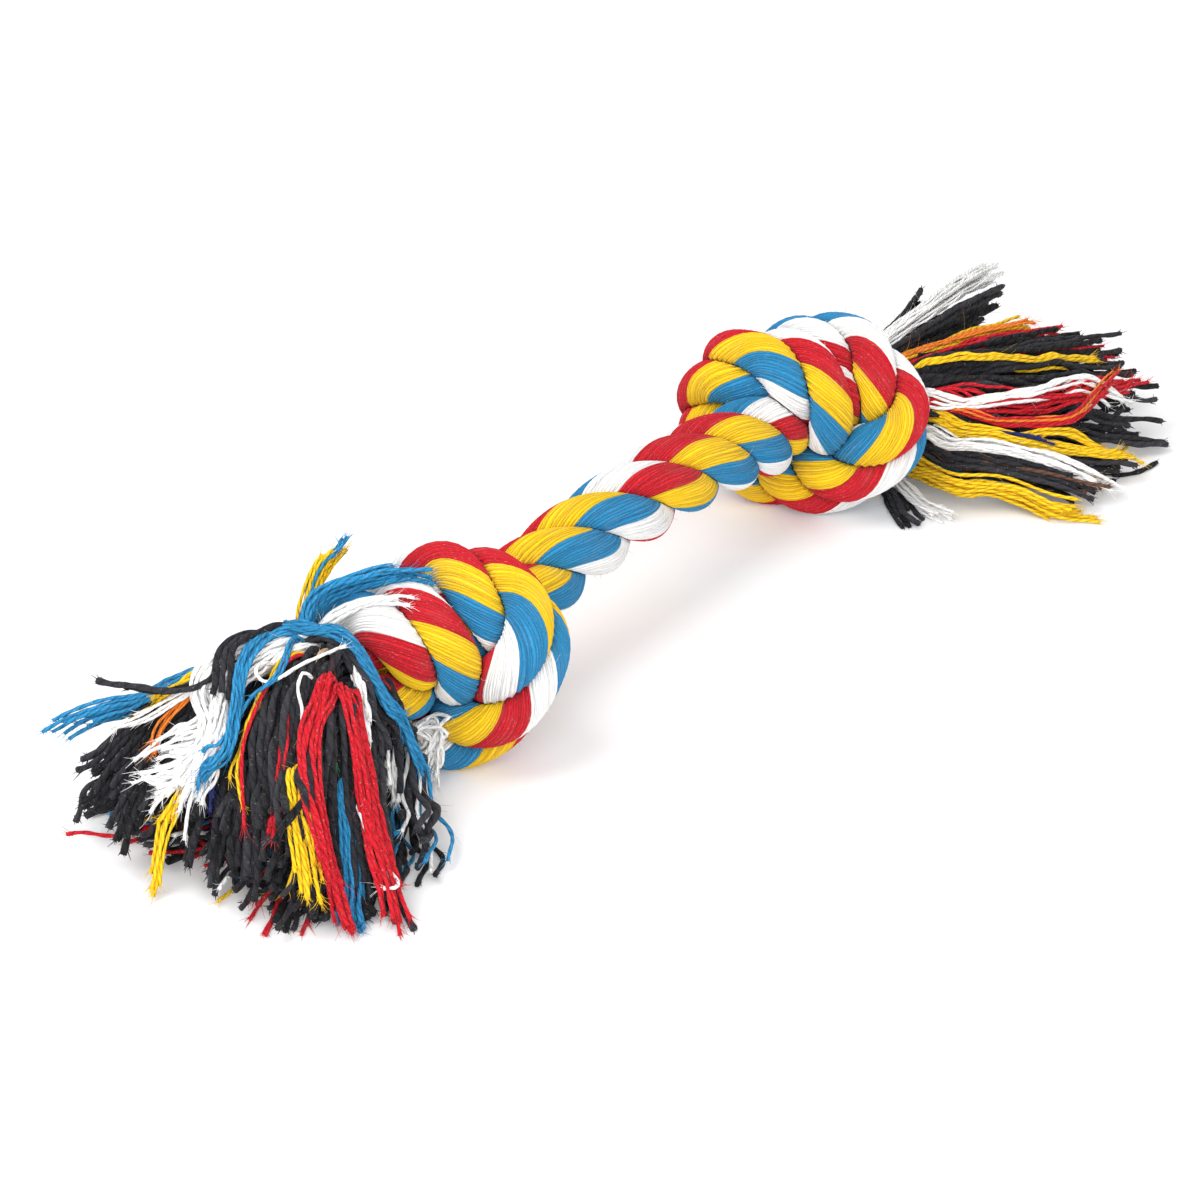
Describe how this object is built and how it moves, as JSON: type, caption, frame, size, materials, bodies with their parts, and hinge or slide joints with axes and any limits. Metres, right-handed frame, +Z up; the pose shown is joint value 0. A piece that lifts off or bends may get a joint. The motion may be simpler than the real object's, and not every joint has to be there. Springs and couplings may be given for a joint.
{
  "type": "rope dog toy",
  "caption": "Thick cotton tug rope laid from three strands, with an overhand knot near each end and the ends opened into yarn tassels.",
  "frame": {"origin": "middle of the bounding box at its underside, where the toy lies on the floor", "axes": "+X along the rope from the near tassel to the far one, +Z up, +Y across"},
  "size_m": [0.3306, 0.112, 0.0516],
  "materials": {
    "rope_cotton": "matt cotton yarn in bands of red, yellow, blue and white",
    "yarn_core": "matt charcoal cotton yarn",
    "yarn_red": "matt red cotton yarn",
    "yarn_yellow": "matt yellow cotton yarn",
    "yarn_blue": "matt blue cotton yarn",
    "yarn_white": "matt white cotton yarn"
  },
  "bodies": {
    "root": {"strand_1": "rope_cotton", "strand_2": "rope_cotton", "strand_3": "rope_cotton", "tassel_near_1_core": "yarn_core", "tassel_near_1_red": "yarn_red", "tassel_near_1_yellow": "yarn_yellow", "tassel_near_1_blue": "yarn_blue", "tassel_near_1_white": "yarn_white", "tassel_near_2_core": "yarn_core", "tassel_near_2_red": "yarn_red", "tassel_near_2_yellow": "yarn_yellow", "tassel_near_2_blue": "yarn_blue", "tassel_near_2_white": "yarn_white", "tassel_near_3_core": "yarn_core", "tassel_near_3_red": "yarn_red", "tassel_near_3_yellow": "yarn_yellow", "tassel_near_3_blue": "yarn_blue", "tassel_near_3_white": "yarn_white", "tassel_far_1_core": "yarn_core", "tassel_far_1_red": "yarn_red", "tassel_far_1_yellow": "yarn_yellow", "tassel_far_1_blue": "yarn_blue", "tassel_far_1_white": "yarn_white", "tassel_far_2_core": "yarn_core", "tassel_far_2_red": "yarn_red", "tassel_far_2_yellow": "yarn_yellow", "tassel_far_2_blue": "yarn_blue", "tassel_far_2_white": "yarn_white", "tassel_far_3_core": "yarn_core", "tassel_far_3_red": "yarn_red", "tassel_far_3_yellow": "yarn_yellow", "tassel_far_3_blue": "yarn_blue", "tassel_far_3_white": "yarn_white"}
  },
  "joints": []
}
